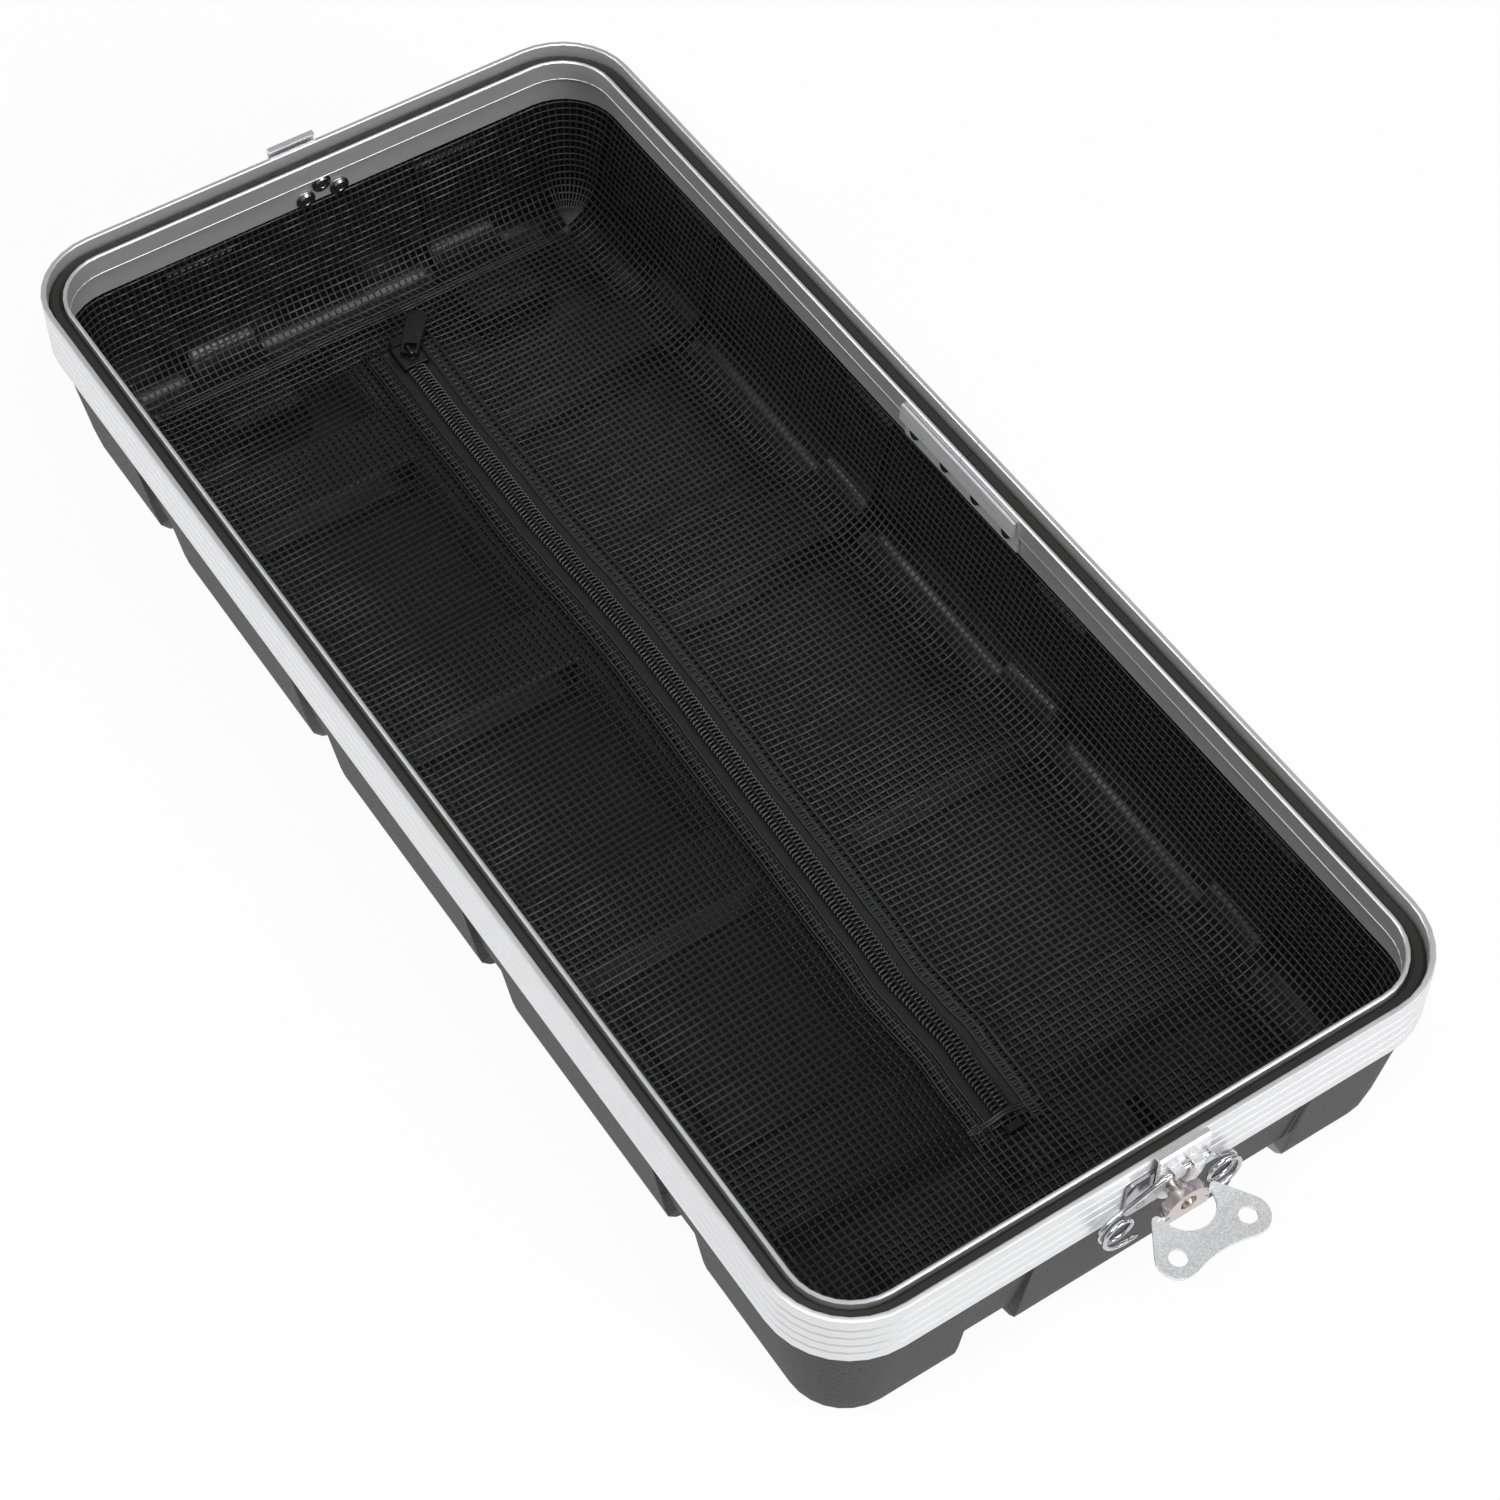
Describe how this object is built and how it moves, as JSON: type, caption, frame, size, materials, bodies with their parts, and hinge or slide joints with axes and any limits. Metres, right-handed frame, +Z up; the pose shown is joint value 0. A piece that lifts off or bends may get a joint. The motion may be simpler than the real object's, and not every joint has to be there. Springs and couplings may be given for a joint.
{
  "type": "rack case cover",
  "caption": "Lift-off cover of a moulded rack case, open side up: ribbed plastic tray in an aluminium frame with gasket, zipped mesh liner and a rotary butterfly latch at each end",
  "frame": {"origin": "centre of the bounding box's underside, on the plane of the pads that the cover stands on", "axes": "+X along the length toward the end whose latch wing is open, +Y across the width toward the side with the frame's joint, +Z up, out of the open side"},
  "size_m": [0.6035, 0.262, 0.0922],
  "materials": {
    "shell_plastic": "leather-grained matt",
    "frame_aluminium": "satin anodised",
    "gasket_rubber": "matt",
    "splice_aluminium": "mill",
    "rivet_steel": "bright",
    "liner_mesh": "warp-knit net",
    "zip_tape": "woven tape",
    "zip_coil": "satin nylon",
    "zip_metal": "black satin",
    "dark_chrome": "dark bright",
    "cam_nickel": "nickel plated",
    "cam_rivet_copper": "copper plated",
    "zinc_plate": "zinc plated",
    "spring_wire": "polished"
  },
  "bodies": {
    "case": {"shell": "shell_plastic", "frame_extrusion": "frame_aluminium", "gasket": "gasket_rubber", "splice_plate": "splice_aluminium", "splice_rivet_1": "rivet_steel", "splice_rivet_2": "rivet_steel", "splice_rivet_3": "rivet_steel", "splice_rivet_4": "rivet_steel", "mesh_liner": "liner_mesh", "zip_tape_left": "zip_tape", "zip_tape_right": "zip_tape", "zip_chain": "zip_coil", "zip_end_patch": "zip_tape", "zip_stop_far": "zip_metal", "zip_stop_near": "zip_metal", "near_latch_base": "dark_chrome", "near_latch_rivet_left": "rivet_steel", "near_latch_rivet_right": "rivet_steel", "near_latch_rivet_top": "rivet_steel", "far_latch_base": "dark_chrome", "far_latch_rivet_left": "rivet_steel", "far_latch_rivet_right": "rivet_steel", "far_latch_rivet_top": "rivet_steel"},
    "near_cam": {"near_latch_cam": "cam_nickel", "near_latch_cam_rivet": "cam_rivet_copper"},
    "near_hook": {"near_latch_hook": "zinc_plate", "near_latch_spring": "spring_wire"},
    "near_wing": {"near_latch_wing": "zinc_plate"},
    "far_cam": {"far_latch_cam": "cam_nickel", "far_latch_cam_rivet": "cam_rivet_copper"},
    "far_hook": {"far_latch_hook": "zinc_plate", "far_latch_spring": "spring_wire"},
    "far_wing": {"far_latch_wing": "zinc_plate"},
    "slider": {"zip_slider": "zip_metal"},
    "pull": {"zip_pull": "zip_metal"}
  },
  "joints": [
    {"name": "near_cam_turn", "type": "hinge", "parent": "case", "child": "near_cam", "pos_m": [0.27015, 0.0045, 0.0709], "axis": [1, 0, 0], "range_deg": [0, 180]},
    {"name": "near_hook_ride", "type": "hinge", "parent": "near_cam", "child": "near_hook", "pos_m": [0.27015, 0.0069, 0.0741], "axis": [1, 0, 0], "range_deg": [-180, 0]},
    {"name": "near_wing_fold", "type": "hinge", "parent": "near_cam", "child": "near_wing", "pos_m": [0.28005, 0.0045, 0.068], "axis": [0, 1, 0], "range_deg": [-90, 90]},
    {"name": "far_cam_turn", "type": "hinge", "parent": "case", "child": "far_cam", "pos_m": [-0.28985, -0.0045, 0.0709], "axis": [-1, 0, 0], "range_deg": [0, 180]},
    {"name": "far_hook_ride", "type": "hinge", "parent": "far_cam", "child": "far_hook", "pos_m": [-0.28985, -0.0069, 0.0741], "axis": [-1, 0, 0], "range_deg": [-180, 0]},
    {"name": "far_wing_fold", "type": "hinge", "parent": "far_cam", "child": "far_wing", "pos_m": [-0.29975, -0.0045, 0.068], "axis": [0, 1, 0], "range_deg": [0, 180]},
    {"name": "zip_slide", "type": "slide", "parent": "case", "child": "slider", "axis": [0.9998, -0.0175, 0], "range_m": [0, 0.419]},
    {"name": "pull_fold", "type": "hinge", "parent": "slider", "child": "pull", "pos_m": [-0.22607, 0.00386, 0.0218], "axis": [0.6293, 0.7771, 0], "range_deg": [0, 170]}
  ],
  "couplings": [
    {"joint": "near_hook_ride", "follows": "near_cam_turn", "ratio": -1},
    {"joint": "far_hook_ride", "follows": "far_cam_turn", "ratio": -1}
  ]
}
